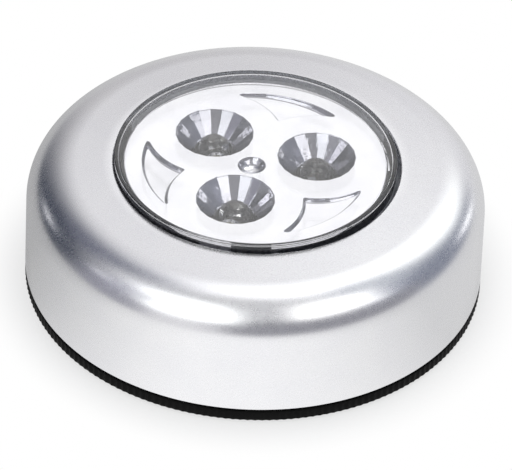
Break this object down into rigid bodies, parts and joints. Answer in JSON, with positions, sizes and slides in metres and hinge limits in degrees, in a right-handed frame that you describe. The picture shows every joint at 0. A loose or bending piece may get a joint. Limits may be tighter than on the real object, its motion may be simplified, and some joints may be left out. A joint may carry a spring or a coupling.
{
  "type": "push-on closet light",
  "caption": "Round battery closet light that sticks to a wall or shelf: silver housing, clear pressing lens over a chromed reflector with LEDs, black twist-off base.",
  "frame": {"origin": "centre of the adhesive pad's lower face, where the light meets the wall, ceiling or shelf", "axes": "+Z out of the mounting surface through the lens; the plus end of the third cell and the first LED lie towards +X"},
  "size_m": [0.07, 0.07, 0.0234],
  "materials": {
    "foam_pad": "white closed-cell foam with an adhesive face",
    "black_abs": "moulded black ABS, fine texture",
    "silver_painted_abs": "satin silver metallic paint on moulded ABS",
    "white_abs": "moulded white ABS",
    "cell_sleeve": "plain printed sleeve over a steel can",
    "nickel_strip": "nickel-plated spring steel",
    "red_pvc": "red PVC insulation",
    "black_pvc": "black PVC insulation",
    "zinc_steel": "zinc-plated steel",
    "clear_lens": "clear polystyrene, polished",
    "metallised_reflector": "vacuum-metallised bright chrome on ABS",
    "clear_epoxy": "water-clear epoxy",
    "circuit_board": "paper-phenolic board",
    "resistor_lacquer": "lacquered, plain",
    "switch_nylon": "moulded black nylon",
    "plunger_acetal": "white acetal"
  },
  "bodies": {
    "base": {"base_cover": "black_abs", "adhesive_pad": "foam_pad"},
    "lamp": {"housing": "silver_painted_abs", "battery_chassis": "white_abs", "battery_1": "cell_sleeve", "battery_2": "cell_sleeve", "battery_3": "cell_sleeve", "link_plate_1": "nickel_strip", "link_plate_2": "nickel_strip", "terminal_plate_plus": "nickel_strip", "terminal_plate_minus": "nickel_strip", "battery_spring_1": "nickel_strip", "battery_spring_2": "nickel_strip", "battery_spring_3": "nickel_strip", "wire_plus": "red_pvc", "wire_minus": "black_pvc", "chassis_screw_1": "zinc_steel", "chassis_screw_2": "zinc_steel", "chassis_screw_3": "zinc_steel"},
    "head": {"lens_cap": "clear_lens", "reflector": "metallised_reflector", "led_1": "clear_epoxy", "led_2": "clear_epoxy", "led_3": "clear_epoxy", "led_board": "circuit_board", "resistor": "resistor_lacquer", "board_screw_1": "zinc_steel", "board_screw_2": "zinc_steel", "board_screw_3": "zinc_steel", "switch_body": "switch_nylon", "switch_spring": "zinc_steel"},
    "plunger": {"switch_plunger": "plunger_acetal"}
  },
  "joints": [
    {"name": "base_twist", "type": "hinge", "parent": "base", "child": "lamp", "pos_m": [0, 0, 0.0026], "axis": [0, 0, 1], "range_deg": [0, 24]},
    {"name": "head_press", "type": "slide", "parent": "lamp", "child": "head", "axis": [0, 0, -1], "range_m": [0, 0.0016], "stiffness_N_per_m": 800, "springref_m": -0.002, "deforming": ["wire_plus", "wire_minus"]},
    {"name": "plunger_slide", "type": "slide", "parent": "head", "child": "plunger", "axis": [0, 0, 1], "range_m": [0, 0.0016], "deforming": ["switch_spring"]}
  ],
  "couplings": [
    {"joint": "plunger_slide", "follows": "head_press", "ratio": 1}
  ]
}
